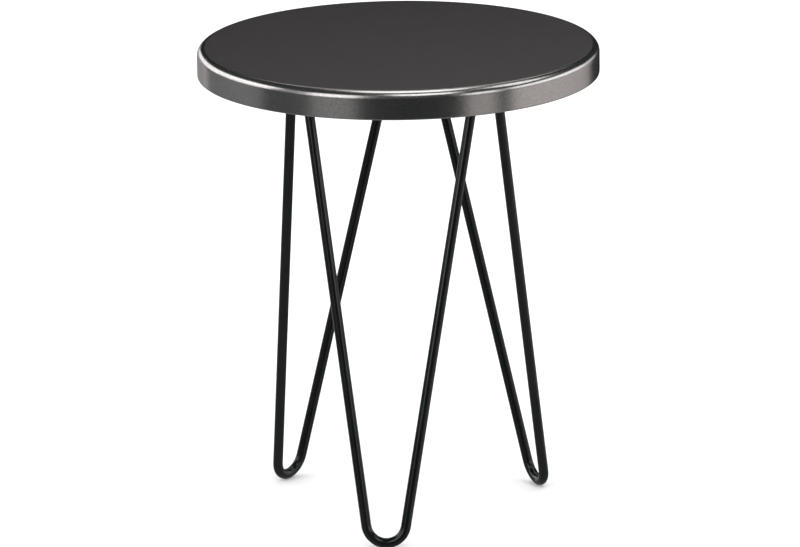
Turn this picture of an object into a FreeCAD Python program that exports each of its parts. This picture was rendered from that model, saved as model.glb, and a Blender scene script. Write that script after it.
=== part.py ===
import FreeCAD, Part
import math
import os
import Sketcher

from FreeCAD import Placement, Rotation, Vector

# Round nightstand: a pressed steel top over a board core, on three bent-bar hairpin legs.
# Millimetres, +Z up. The origin lies on the floor, on the axis of the round top, and the
# front leg points along -Y. Each leg is one bent bar welded to a strip plate, and each
# plate is held up by machine screws that run into threaded inserts in the core.

DRIVING_SIZES = {
    # The round top, from the face down to the lower edge of its band.
    "overall_height": 477.0,
    "top_diameter": 400.0,
    "rim_depth": 28.5,
    "shoulder_radius": 8.0,
    "sheet_thickness": 1.2,
    "hem_fold_gap": 0.2,
    "hem_height": 6.0,
    "hem_run_out": 2.0,
    # The core board and the sheet under it.
    "board_thickness": 18.0,
    "board_side_gap": 0.4,
    "board_arris": 1.0,
    "backing_thickness": 0.6,
    "backing_inset": 1.5,
    # The bent bar of a leg, measured on its centre line.
    "rod_diameter": 10.0,
    "bend_radius": 20.0,
    "foot_circle_radius": 149.0,
    "rod_half_spread": 85.0,
    # The weld between a bar and its plate.
    "weld_height": 3.6,
    "weld_width": 3.4,
    "weld_toe": 1.1,
    # The strip plate that carries a leg.
    "plate_thickness": 3.0,
    "plate_width": 30.0,
    "plate_end_margin": 10.5,
    "plate_gap": 6.4,
    "plate_arris": 0.5,
    "washer_weld_gap": 13.1,
    # The machine screws, their washers and the inserts that take them.
    "screw_diameter": 6.0,
    "screw_length": 14.0,
    "screw_tip_chamfer": 0.8,
    "screw_hole_clearance": 0.6,
    "head_overhang": 2.7,
    "head_height": 3.4,
    "head_crown_radius": 1.4,
    "socket_across_flats": 4.0,
    "socket_depth": 2.0,
    "washer_overhang": 3.5,
    "washer_thickness": 1.0,
    "washer_clearance": 0.4,
    "insert_length": 13.0,
    "insert_wall": 1.1,
    "insert_bore_clearance": 0.2,
    "insert_hole_clearance": 0.2,
    "insert_rib_depth": 0.8,
    "insert_lead_height": 1.4,
    "insert_hole_bottom_gap": 1.0,
}

LEG_NAMES = ("front", "right", "left")
SCREWS_PER_LEG = 4
INSERT_RIBS = 4
HEX_SIDES = 6

# How much of the step from rib to rib an insert's rib takes, and how much its slope takes.
RIB_SHARE = 0.45
RIB_SLOPE_SHARE = 0.28

document = FreeCAD.newDocument("Nightstand")
sheet = document.addObject("Spreadsheet::Sheet", "Sizes")


class Size:
    """A length or angle that keeps its number beside the sheet formula that gives it."""

    def __init__(self, value, formula):
        self.value = value
        self.formula = formula

    def joined(self, other, sign, value):
        """The size that follows when another size or a plain factor is combined with this one."""
        right = other.formula if isinstance(other, Size) else repr(other)
        return Size(value, f"({self.formula} {sign} {right})")

    def __add__(self, other):
        return self.joined(other, "+", self.value + plain(other))

    def __sub__(self, other):
        return self.joined(other, "-", self.value - plain(other))

    def __mul__(self, other):
        return self.joined(other, "*", self.value * plain(other))

    def __truediv__(self, other):
        return self.joined(other, "/", self.value / plain(other))

    def __neg__(self):
        return Size(-self.value, f"(-1 * {self.formula})")


def plain(quantity):
    """The number in a size, or the number itself."""
    return quantity.value if isinstance(quantity, Size) else quantity


def diagonal(across, along):
    """The long side of the right triangle on two sizes."""
    value = math.hypot(across.value, along.value)
    return Size(value, f"hypot({across.formula}; {along.formula})")


def slope_angle(rise, run):
    """The angle, in degrees, whose tangent is one size over another."""
    value = math.degrees(math.atan2(rise.value, run.value))
    return Size(value, f"atan2({rise.formula}; {run.formula})")


for row, (alias, number) in enumerate(DRIVING_SIZES.items(), start=1):
    sheet.set(f"A{row}", alias)
    sheet.set(f"B{row}", str(number))
    sheet.setAlias(f"B{row}", alias)
document.recompute()

SIZE = {alias: Size(number, f"Sizes.{alias}") for alias, number in DRIVING_SIZES.items()}
ZERO = Size(0.0, "0")

# Heights of the seats, from the top face down.
FACE_LEVEL = SIZE["overall_height"]
BOARD_TOP = FACE_LEVEL - SIZE["sheet_thickness"]
BOARD_BOTTOM = BOARD_TOP - SIZE["board_thickness"]
PLATE_SEAT = BOARD_BOTTOM - SIZE["backing_thickness"]
PLATE_BOTTOM = PLATE_SEAT - SIZE["plate_thickness"]
HEAD_SEAT = PLATE_BOTTOM - SIZE["washer_thickness"]
BAND_BOTTOM = FACE_LEVEL - SIZE["rim_depth"]

TOP_RADIUS = SIZE["top_diameter"] / 2
ROD_RADIUS = SIZE["rod_diameter"] / 2
HEM_THICKNESS = SIZE["sheet_thickness"] * 2 + SIZE["hem_fold_gap"]
BOARD_RADIUS = TOP_RADIUS - HEM_THICKNESS - SIZE["board_side_gap"]
BOARD_EDGE_RADIUS = SIZE["shoulder_radius"] - SIZE["sheet_thickness"]
INSERT_BORE_RADIUS = (SIZE["screw_diameter"] + SIZE["insert_bore_clearance"]) / 2
INSERT_ROOT_RADIUS = INSERT_BORE_RADIUS + SIZE["insert_wall"]
INSERT_RADIUS = INSERT_ROOT_RADIUS + SIZE["insert_rib_depth"]
INSERT_HOLE_RADIUS = INSERT_RADIUS + SIZE["insert_hole_clearance"] / 2
INSERT_HOLE_DEPTH = SIZE["insert_length"] + SIZE["insert_hole_bottom_gap"]

# The screws of a leg stand evenly between its two welds, the outer washers a gap from them.
WASHER_RADIUS = SIZE["screw_diameter"] / 2 + SIZE["washer_overhang"]
WELD_INNER_REACH = SIZE["rod_half_spread"] - ROD_RADIUS - SIZE["weld_width"]
OUTER_SCREW_ACROSS = WELD_INNER_REACH - SIZE["washer_weld_gap"] - WASHER_RADIUS
SCREW_PITCH = OUTER_SCREW_ACROSS * 2 / (SCREWS_PER_LEG - 1)

# The strip plates stand round the axis, a gap apart where their round ends come closest.
HALF_STEP = math.pi / len(LEG_NAMES)
PLATE_HALF_WIDTH = SIZE["plate_width"] / 2
PLATE_STRAIGHT = SIZE["rod_half_spread"] + SIZE["plate_end_margin"] - PLATE_HALF_WIDTH
PLATE_CLEARANCE = PLATE_HALF_WIDTH + SIZE["plate_gap"] / 2
LEG_SEAT_RADIUS = (PLATE_CLEARANCE + PLATE_STRAIGHT * math.cos(HALF_STEP)) / math.sin(HALF_STEP)

# A leg leans outwards in one plane, from its foot up to the seat of its plate.
LEG_RISE = PLATE_SEAT - ROD_RADIUS
LEG_LEAN = SIZE["foot_circle_radius"] - LEG_SEAT_RADIUS
LEG_SLANT_LENGTH = diagonal(LEG_LEAN, LEG_RISE)
LEG_TILT = slope_angle(LEG_LEAN, LEG_RISE)


def bind(item, **sizes):
    """Bind properties of an object to the sheet."""
    for name, size in sizes.items():
        item.setExpression(name, size.formula)


def new_body(label):
    """A body with the sub-part's label."""
    body = document.addObject("PartDesign::Body", label)
    body.Label = label
    body.AllowCompound = True
    return body


def origin_plane(body, role):
    """One of a body's own origin planes or axes, by its role."""
    return [item for item in body.Origin.OriginFeatures if item.Role == role][0]


def new_sketch(body, name, role, height=None):
    """A sketch on a body's own origin plane, lifted off it by a size if one is given."""
    sketch = body.newObject("Sketcher::SketchObject", name)
    sketch.AttachmentSupport = [(origin_plane(body, role), "")]
    sketch.MapMode = "FlatFace"
    if height is not None:
        sketch.AttachmentOffset = Placement(Vector(0, 0, height.value), Rotation())
        sketch.setExpression("AttachmentOffset.Base.z", height.formula)
    return sketch


# The kind of distance and the sketch axis for each way of pinning a point.
ACROSS = ("DistanceX", -2)
UPRIGHT = ("DistanceY", -1)


def set_datum(sketch, constraint, size):
    """Add a constraint with a value and bind that value to the sheet."""
    index = sketch.addConstraint(constraint)
    sketch.setExpression(f"Constraints[{index}]", size.formula)


def pin_along(sketch, geometry, end, size, kind, axis):
    """Hold one end of a piece of geometry at a signed distance from the origin."""
    if size.value == 0:
        sketch.addConstraint(Sketcher.Constraint("PointOnObject", geometry, end, axis))
    elif size.value > 0:
        constraint = Sketcher.Constraint(kind, -1, 1, geometry, end, size.value)
        set_datum(sketch, constraint, size)
    else:
        constraint = Sketcher.Constraint(kind, geometry, end, -1, 1, -size.value)
        set_datum(sketch, constraint, -size)


def pin(sketch, geometry, end, point):
    """Hold one end of a piece of geometry at a place given by two sizes."""
    pin_along(sketch, geometry, end, point[0], *ACROSS)
    pin_along(sketch, geometry, end, point[1], *UPRIGHT)


def flat(point):
    """A point of two sizes as a vector in the sketch."""
    return Vector(point[0].value, point[1].value, 0)


class Arc:
    """A round stretch of an outline up to the next corner, with its centre and its turn."""

    def __init__(self, centre, turns_left):
        self.centre = centre
        self.turns_left = turns_left


def add_arc(sketch, start, finish, arc):
    """Add one round stretch and return its index and which of its ends comes first."""
    centre = flat(arc.centre)
    first, last = (start, finish) if arc.turns_left else (finish, start)
    arms = [flat(point) - centre for point in (first, last)]
    angles = [math.atan2(arm.y, arm.x) for arm in arms]
    if angles[1] <= angles[0]:
        angles[1] += math.tau
    circle = Part.Circle(centre, Vector(0, 0, 1), arms[0].Length)
    index = sketch.addGeometry(Part.ArcOfCircle(circle, *angles), False)
    chord = arms[1] - arms[0]
    way = 0 if abs(chord.y) > abs(chord.x) else 1
    pin_along(sketch, index, 3, arc.centre[way], *(ACROSS, UPRIGHT)[way])
    return index, (1, 2) if arc.turns_left else (2, 1)


def add_outline(sketch, corners, closed=True):
    """Draw corners of two sizes each, joined by lines, or by an Arc named after a corner."""
    steps = []
    for item in corners:
        if isinstance(item, Arc):
            steps[-1][1] = item
        else:
            steps.append([item, None])
    pieces = []
    count = len(steps) if closed else len(steps) - 1
    for number in range(count):
        start, arc = steps[number]
        finish = steps[(number + 1) % len(steps)][0]
        if arc is None:
            line = Part.LineSegment(flat(start), flat(finish))
            index, ends = sketch.addGeometry(line, False), (1, 2)
        else:
            index, ends = add_arc(sketch, start, finish, arc)
        pin(sketch, index, ends[0], start)
        pieces.append((index, ends))
    for number in range(count - 1):
        join_pieces(sketch, pieces[number], pieces[number + 1])
    if closed:
        join_pieces(sketch, pieces[-1], pieces[0])
    else:
        pin(sketch, pieces[-1][0], pieces[-1][1][1], steps[-1][0])


def join_pieces(sketch, before, after):
    """Make the end of one piece of an outline meet the start of the next."""
    meeting = (before[0], before[1][1], after[0], after[1][0])
    sketch.addConstraint(Sketcher.Constraint("Coincident", *meeting))


def add_circle(sketch, centre, radius):
    """Draw a circle with its centre and radius bound to the sheet."""
    circle = Part.Circle(flat(centre), Vector(0, 0, 1), radius.value)
    index = sketch.addGeometry(circle, False)
    pin(sketch, index, 3, centre)
    set_datum(sketch, Sketcher.Constraint("Radius", index, radius.value), radius)


def add_hexagon(sketch, centre, across_flats):
    """Draw a regular six-sided outline about a centre, with two flats level."""
    corner_radius = across_flats / math.sqrt(3)
    corners = []
    for number in range(HEX_SIDES):
        angle = math.tau * number / HEX_SIDES
        across = centre[0] + corner_radius * math.cos(angle)
        along = centre[1] + corner_radius * math.sin(angle)
        corners.append((across, along))
    add_outline(sketch, corners)


def pad(body, name, sketch, length):
    """Raise a sketch by a length."""
    feature = body.newObject("PartDesign::Pad", name)
    feature.Profile = sketch
    bind(feature, Length=length)
    return feature


def pocket(body, name, sketch, length=None, upwards=False):
    """Cut a sketch into the solid, by a length or right through, and check that it cut."""
    document.recompute()
    volume = body.Shape.Volume
    feature = body.newObject("PartDesign::Pocket", name)
    feature.Profile = sketch
    if length is None:
        feature.Type = "ThroughAll"
    else:
        bind(feature, Length=length)
    feature.Reversed = upwards
    document.recompute()
    if not feature.Shape.Volume < volume:
        raise RuntimeError(f"{name} cuts nothing out of {body.Label}")
    return feature


def revolve(body, name, sketch):
    """Turn a sketch right round its own upright axis."""
    feature = body.newObject("PartDesign::Revolution", name)
    feature.Profile = sketch
    feature.ReferenceAxis = (sketch, ["V_Axis"])
    feature.Angle = 360
    return feature


def repeat_round(body, name, features):
    """Repeat features once for each leg, about the table's axis."""
    pattern = body.newObject("PartDesign::PolarPattern", name)
    pattern.Originals = features
    pattern.Axis = (origin_plane(body, "Z_Axis"), [""])
    pattern.Angle = 360
    pattern.Occurrences = len(LEG_NAMES)
    body.Tip = pattern
    return pattern


def repeat_along_plate(body, name, features):
    """Repeat features at each screw of a plate."""
    pattern = body.newObject("PartDesign::LinearPattern", name)
    pattern.Originals = features
    pattern.Direction = (origin_plane(body, "X_Axis"), [""])
    pattern.Occurrences = SCREWS_PER_LEG
    bind(pattern, Length=OUTER_SCREW_ACROSS * 2)
    body.Tip = pattern
    return pattern


def turn_to_leg(item, number):
    """Turn a piece made at the front leg to the place of another leg."""
    angle = 360 * number / len(LEG_NAMES)
    item.Placement = Placement(Vector(), Rotation(Vector(0, 0, 1), angle))
    return item


def make_top_pan():
    """The pressed steel cap: flat face, rounded shoulder, upright band and folded hem."""
    sheet_gauge = SIZE["sheet_thickness"]
    shoulder = SIZE["shoulder_radius"]
    flat_radius = TOP_RADIUS - shoulder
    shoulder_level = FACE_LEVEL - shoulder
    shoulder_centre = (flat_radius, shoulder_level)
    hem_radius = HEM_THICKNESS / 2
    hem_level = BAND_BOTTOM + hem_radius
    hem_top = BAND_BOTTOM + SIZE["hem_height"]
    body = new_body("top_pan")
    sketch = new_sketch(body, "pan_section", "XZ_Plane")
    add_outline(sketch, [
        (ZERO, BOARD_TOP),
        (flat_radius, BOARD_TOP),
        Arc(shoulder_centre, turns_left=False),
        (TOP_RADIUS - sheet_gauge, shoulder_level),
        (TOP_RADIUS - sheet_gauge, hem_top + SIZE["hem_run_out"]),
        (TOP_RADIUS - HEM_THICKNESS, hem_top),
        (TOP_RADIUS - HEM_THICKNESS, hem_level),
        Arc((TOP_RADIUS - hem_radius, hem_level), turns_left=True),
        (TOP_RADIUS, hem_level),
        (TOP_RADIUS, shoulder_level),
        Arc(shoulder_centre, turns_left=True),
        (flat_radius, FACE_LEVEL),
        (ZERO, FACE_LEVEL),
    ])
    revolve(body, "pan_turned", sketch)
    return body


def screw_places():
    """The places of the front leg's screws, across the leg and out from the axis."""
    return [
        (SCREW_PITCH * number - OUTER_SCREW_ACROSS, -LEG_SEAT_RADIUS)
        for number in range(SCREWS_PER_LEG)
    ]


def make_core_board():
    """The board inside the pan, its edge rounded like the pan, with blind insert holes."""
    arris = SIZE["board_arris"]
    rounding = BOARD_EDGE_RADIUS
    inner_radius = BOARD_RADIUS - rounding
    rounding_level = BOARD_TOP - rounding
    body = new_body("core_board")
    section = new_sketch(body, "board_section", "XZ_Plane")
    add_outline(section, [
        (ZERO, BOARD_BOTTOM),
        (BOARD_RADIUS - arris, BOARD_BOTTOM),
        (BOARD_RADIUS, BOARD_BOTTOM + arris),
        (BOARD_RADIUS, rounding_level),
        Arc((inner_radius, rounding_level), turns_left=True),
        (inner_radius, BOARD_TOP),
        (ZERO, BOARD_TOP),
    ])
    revolve(body, "board_turned", section)
    holes = new_sketch(body, "insert_holes", "XY_Plane", BOARD_BOTTOM)
    for place in screw_places():
        add_circle(holes, place, INSERT_HOLE_RADIUS)
    drilled = pocket(body, "insert_bores", holes, INSERT_HOLE_DEPTH, upwards=True)
    repeat_round(body, "insert_bores_round", [drilled])
    return body


def make_backing_sheet():
    """The thin dark sheet that balances the board's lower face."""
    body = new_body("backing_sheet")
    outline = new_sketch(body, "sheet_outline", "XY_Plane", PLATE_SEAT)
    add_circle(outline, (ZERO, ZERO), BOARD_RADIUS - SIZE["backing_inset"])
    pad(body, "sheet_cut", outline, SIZE["backing_thickness"])
    holes = new_sketch(body, "sheet_holes", "XY_Plane", PLATE_SEAT)
    for place in screw_places():
        add_circle(holes, place, INSERT_HOLE_RADIUS)
    punched = pocket(body, "holes_punched", holes, upwards=True)
    repeat_round(body, "holes_round", [punched])
    return body


def add_bar_section(body):
    """The round section of a leg's bar, at the lowest point of its bend."""
    sketch = new_sketch(body, "bar_section", "YZ_Plane")
    add_circle(sketch, (-SIZE["foot_circle_radius"], ROD_RADIUS), ROD_RADIUS)
    return sketch


def add_bar_route(body):
    """The right half of a leg's centre line: the bend, then the straight run to the plate."""
    bend = SIZE["bend_radius"]
    across = SIZE["rod_half_spread"]
    above_bend = LEG_SLANT_LENGTH - bend
    reach = diagonal(across, above_bend)
    lean = Size(
        math.atan2(across.value, above_bend.value) - math.asin(bend.value / reach.value),
        f"(atan2({across.formula}; {above_bend.formula})"
        f" - asin({bend.formula} / {reach.formula}))",
    )
    leave_across = bend * Size(math.cos(lean.value), f"cos{lean.formula}")
    leave_along = bend - bend * Size(math.sin(lean.value), f"sin{lean.formula}")
    sketch = new_sketch(body, "bar_route", "XZ_Plane")
    tilt = Rotation(Vector(-1, 0, 0), LEG_TILT.value)
    foot = Vector(0, ROD_RADIUS.value, SIZE["foot_circle_radius"].value)
    sketch.AttachmentOffset = Placement(foot, tilt)
    sketch.setExpression("AttachmentOffset.Base.y", ROD_RADIUS.formula)
    sketch.setExpression("AttachmentOffset.Base.z", SIZE["foot_circle_radius"].formula)
    sketch.setExpression("AttachmentOffset.Rotation.Angle", LEG_TILT.formula)
    add_outline(sketch, [
        (ZERO, ZERO),
        Arc((ZERO, bend), turns_left=True),
        (leave_across, leave_along),
        (across, LEG_SLANT_LENGTH),
    ], closed=False)
    return sketch


def follow_route(body, kind, name):
    """Sweep the bar's section along the right half of its route."""
    section = add_bar_section(body)
    route = add_bar_route(body)
    document.recompute()
    sweep = body.newObject(kind, name)
    sweep.Profile = section
    sweep.Spine = (route, ["Edge1", "Edge2"])
    return sweep


def mirror_across(body, name, features):
    """Mirror features to the other side of the leg's middle plane."""
    mirror = body.newObject("PartDesign::Mirrored", name)
    mirror.Originals = features
    mirror.MirrorPlane = (origin_plane(body, "YZ_Plane"), [""])
    body.Tip = mirror
    return mirror


def make_leg_rod(label):
    """One leg: a round bar bent to a hairpin, its two ends cut level under the plate."""
    body = new_body(label)
    half = follow_route(body, "PartDesign::AdditivePipe", "bar_half")
    mirror_across(body, "bar_whole", [half])
    cut = new_sketch(body, "end_cut", "XY_Plane", PLATE_BOTTOM)
    add_circle(cut, (ZERO, -LEG_SEAT_RADIUS), TOP_RADIUS)
    pocket(body, "ends_cut_level", cut, upwards=True)
    return body


def make_leg_plate(label):
    """The strip plate of one leg, round at both ends, with a row of screw holes."""
    out = -LEG_SEAT_RADIUS
    inner_side = out + PLATE_HALF_WIDTH
    outer_side = out - PLATE_HALF_WIDTH
    body = new_body(label)
    outline = new_sketch(body, "plate_outline", "XY_Plane", PLATE_BOTTOM)
    add_outline(outline, [
        (-PLATE_STRAIGHT, outer_side),
        (PLATE_STRAIGHT, outer_side),
        Arc((PLATE_STRAIGHT, out), turns_left=True),
        (PLATE_STRAIGHT, inner_side),
        (-PLATE_STRAIGHT, inner_side),
        Arc((-PLATE_STRAIGHT, out), turns_left=True),
    ])
    strip = pad(body, "plate_cut", outline, SIZE["plate_thickness"])
    document.recompute()
    eased = body.newObject("PartDesign::Chamfer", "plate_arrises")
    eased.Base = (strip, lower_rim_names(strip.Shape))
    bind(eased, Size=SIZE["plate_arris"])
    holes = new_sketch(body, "screw_holes", "XY_Plane", PLATE_BOTTOM)
    radius = (SIZE["screw_diameter"] + SIZE["screw_hole_clearance"]) / 2
    for place in screw_places():
        add_circle(holes, place, radius)
    pocket(body, "holes_drilled", holes, upwards=True)
    return body


def lower_rim_names(shape):
    """The names of the edges that lie in the lowest plane of a plate."""
    limit = shape.BoundBox.ZMin + SIZE["plate_arris"].value
    return [
        f"Edge{number}"
        for number, edge in enumerate(shape.Edges, start=1)
        if edge.CenterOfMass.z < limit
    ]


def make_leg_welds(label):
    """The two fillet welds of one leg, each a ring round its bar under the plate."""
    height = SIZE["weld_height"]
    middle_below_seat = SIZE["plate_thickness"] + height / 2
    drop_share = middle_below_seat / LEG_RISE
    bend = SIZE["bend_radius"]
    across = SIZE["rod_half_spread"] - (SIZE["rod_half_spread"] - bend) * drop_share
    out = LEG_SEAT_RADIUS + LEG_LEAN * drop_share
    foot_radius = ROD_RADIUS + SIZE["weld_toe"]
    seat_radius = ROD_RADIUS + SIZE["weld_width"]
    cone = document.addObject("Part::Cone", f"{label}_ring")
    bind(cone, Radius1=foot_radius, Radius2=seat_radius, Height=height)
    cone.setExpression("Placement.Base.x", across.formula)
    cone.setExpression("Placement.Base.y", (-out).formula)
    cone.setExpression("Placement.Base.z", (PLATE_BOTTOM - height).formula)
    bar = make_leg_rod(f"{label}_bar")
    ring = document.addObject("Part::Cut", f"{label}_right")
    ring.Base = cone
    ring.Tool = bar
    other_ring = document.addObject("Part::Mirroring", f"{label}_left")
    other_ring.Source = ring
    other_ring.Normal = Vector(1, 0, 0)
    pair = document.addObject("Part::Compound", label)
    pair.Label = label
    pair.Links = [ring, other_ring]
    return pair


def upright_sketch_at_first_screw(body, name):
    """A sketch whose upright axis is the axis of the first screw of a leg."""
    sketch = new_sketch(body, name, "XZ_Plane", LEG_SEAT_RADIUS)
    place = Vector(-OUTER_SCREW_ACROSS.value, 0, LEG_SEAT_RADIUS.value)
    sketch.AttachmentOffset = Placement(place, Rotation())
    sketch.setExpression("AttachmentOffset.Base.x", (-OUTER_SCREW_ACROSS).formula)
    return sketch


def make_leg_screws(label):
    """The button-head machine screws of one leg, with hexagon sockets."""
    shank = SIZE["screw_diameter"] / 2
    head = shank + SIZE["head_overhang"]
    crown = SIZE["head_crown_radius"]
    head_bottom = HEAD_SEAT - SIZE["head_height"]
    tip_level = HEAD_SEAT + SIZE["screw_length"]
    tip = SIZE["screw_tip_chamfer"]
    body = new_body(label)
    section = upright_sketch_at_first_screw(body, "screw_section")
    add_outline(section, [
        (ZERO, head_bottom),
        (head - crown, head_bottom),
        Arc((head - crown, head_bottom + crown), turns_left=True),
        (head, head_bottom + crown),
        (head, HEAD_SEAT),
        (shank, HEAD_SEAT),
        (shank, tip_level - tip),
        (shank - tip, tip_level),
        (ZERO, tip_level),
    ])
    turned = revolve(body, "screw_turned", section)
    socket = new_sketch(body, "socket_outline", "XY_Plane", head_bottom)
    first_place = (-OUTER_SCREW_ACROSS, -LEG_SEAT_RADIUS)
    add_hexagon(socket, first_place, SIZE["socket_across_flats"])
    broached = pocket(body, "socket_broached", socket, SIZE["socket_depth"], upwards=True)
    repeat_along_plate(body, "screws_in_row", [turned, broached])
    return body


def make_leg_washers(label):
    """The flat washers under one leg's screw heads."""
    outer = WASHER_RADIUS
    inner = (SIZE["screw_diameter"] + SIZE["washer_clearance"]) / 2
    body = new_body(label)
    section = upright_sketch_at_first_screw(body, "washer_section")
    add_outline(section, [
        (inner, HEAD_SEAT),
        (outer, HEAD_SEAT),
        (outer, PLATE_BOTTOM),
        (inner, PLATE_BOTTOM),
    ])
    turned = revolve(body, "washer_turned", section)
    repeat_along_plate(body, "washers_in_row", [turned])
    return body


def make_leg_inserts(label):
    """The ribbed threaded inserts that take one leg's screws, flush with the board."""
    top = BOARD_BOTTOM + SIZE["insert_length"]
    pitch = (SIZE["insert_length"] - SIZE["insert_lead_height"]) / INSERT_RIBS
    corners = [(INSERT_BORE_RADIUS, BOARD_BOTTOM)]
    for number in range(INSERT_RIBS):
        rib_bottom = BOARD_BOTTOM + pitch * number
        rib_top = rib_bottom + pitch * RIB_SHARE
        corners.append((INSERT_RADIUS, rib_bottom))
        corners.append((INSERT_RADIUS, rib_top))
        corners.append((INSERT_ROOT_RADIUS, rib_top + pitch * RIB_SLOPE_SHARE))
        corners.append((INSERT_ROOT_RADIUS, rib_bottom + pitch))
    corners.append((INSERT_ROOT_RADIUS, top))
    corners.append((INSERT_BORE_RADIUS, top))
    body = new_body(label)
    section = upright_sketch_at_first_screw(body, "insert_section")
    add_outline(section, corners)
    turned = revolve(body, "insert_turned", section)
    repeat_along_plate(body, "inserts_in_row", [turned])
    return body


def check_objects():
    """Stop if any object of the document failed to compute."""
    for item in document.Objects:
        if "Invalid" in item.State or "Error" in item.State:
            raise RuntimeError(f"{item.Label} did not compute: {item.State}")


def write_parts(parts):
    """Write each sub-part to its own STEP file, named by its label."""
    os.makedirs("parts", exist_ok=True)
    for item in parts:
        if item.Shape.isNull() or not item.Shape.isValid():
            raise RuntimeError(f"{item.Label} has no valid shape")
        item.Shape.exportStep(os.path.join("parts", f"{item.Label}.step"))
        solids = len(item.Shape.Solids)
        print(f"{item.Label}: solids {solids}, volume {item.Shape.Volume:.1f}")


def main():
    """Make every sub-part, check it and write it."""
    parts = [make_top_pan(), make_core_board(), make_backing_sheet()]
    makers = {
        "leg_rod": make_leg_rod,
        "leg_plate": make_leg_plate,
        "leg_welds": make_leg_welds,
        "leg_screws": make_leg_screws,
        "leg_washers": make_leg_washers,
        "leg_inserts": make_leg_inserts,
    }
    for number, leg in enumerate(LEG_NAMES):
        for piece, make_piece in makers.items():
            parts.append(turn_to_leg(make_piece(f"{leg}_{piece}"), number))
    document.recompute()
    check_objects()
    write_parts(parts)


main()
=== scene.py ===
"""Looks of the round nightstand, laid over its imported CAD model.

The table is a pressed steel top in satin gunmetal on three hairpin legs, each one bent black
bar. Lengths are in metres, +Z is up, the origin is on the floor under the middle of the top,
and the front leg points along -Y.
"""

import logging
import math
from collections.abc import Callable, Iterator
from contextlib import contextmanager
from dataclasses import dataclass, field
from enum import Enum

import bmesh
import bpy
from mathutils import Matrix, Vector


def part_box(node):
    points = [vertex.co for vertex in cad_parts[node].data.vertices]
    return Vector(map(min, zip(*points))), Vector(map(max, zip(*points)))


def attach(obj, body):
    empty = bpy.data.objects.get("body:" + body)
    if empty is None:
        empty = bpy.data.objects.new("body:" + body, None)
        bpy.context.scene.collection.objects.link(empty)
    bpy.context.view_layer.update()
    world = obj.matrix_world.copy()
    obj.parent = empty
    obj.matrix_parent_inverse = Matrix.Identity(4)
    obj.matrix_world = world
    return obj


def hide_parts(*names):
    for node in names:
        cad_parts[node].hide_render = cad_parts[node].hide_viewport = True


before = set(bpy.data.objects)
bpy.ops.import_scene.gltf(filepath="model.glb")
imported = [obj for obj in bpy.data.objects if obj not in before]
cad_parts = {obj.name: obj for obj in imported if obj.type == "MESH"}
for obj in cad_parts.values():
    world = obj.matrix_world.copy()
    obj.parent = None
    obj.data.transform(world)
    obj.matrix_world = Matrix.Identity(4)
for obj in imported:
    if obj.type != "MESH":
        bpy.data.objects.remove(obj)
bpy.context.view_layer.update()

LOG = logging.getLogger("nightstand")
BODY = "root"
MERGE_DISTANCE = 1e-6
NEAR = 1e-5
CLOSE = 1e-4
FLAT = 0.99999
MOST_GRAIN = (0.35, 0.65)
CELL_REACH, CELL_GREYS = (0.0, 0.9), (0.2, 0.8)
CLOUD_EDGES = (0.32, 0.68)
STROKE_WAYS = ((0.5, 0.10), (-0.9, 0.14))
STROKE_EDGES = (0.45, 0.75)
OPEN_GRID = 180.0
BOX_DISTANCE = 4.0
STEEP = 0.99
ORIGIN = Vector((0.0, 0.0, 0.0))

Triple = tuple[float, float, float]
Colour = tuple[float, float, float]
Tones = tuple[Colour, Colour]
Span = tuple[float, float]
Piece = bpy.types.Object
Material = bpy.types.Material
Tree = bpy.types.NodeTree
Node = bpy.types.Node
Wire = bpy.types.NodeSocket
Inputs = dict[str | int, object]
Relief = tuple[Span, ...]
EdgeTest = Callable[[Vector, Vector], bool]


class Leg(Enum):
    """The three legs, each with the turn in degrees that carries the front leg to it."""

    FRONT = 0.0
    RIGHT = 120.0
    LEFT = 240.0

    @property
    def label(self) -> str:
        """The leg's name as the CAD nodes spell it."""
        return self.name.lower()

    @property
    def turn(self) -> Matrix:
        """The turn about the table's axis that carries the front leg to this one."""
        return Matrix.Rotation(math.radians(self.value), 4, "Z")


class Slot(Enum):
    """The record's material slots."""

    GUNMETAL = "gunmetal_steel"
    POWDER_COAT = "black_powder_coat"
    ZINC = "black_zinc"
    FIBREBOARD = "core_fibreboard"
    BACKING = "dark_backing"
    BRASS = "insert_brass"


class Pick(Enum):
    """What is selected on a piece in edit mode, by Blender's name for it."""

    POINTS = "VERT"
    EDGES = "EDGE"
    FACES = "FACE"


class Socket(Enum):
    """The kinds of socket that the shared groups have, by Blender's name for them."""

    PLACE = "NodeSocketVector"
    NUMBER = "NodeSocketFloat"
    COLOUR = "NodeSocketColor"


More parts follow.
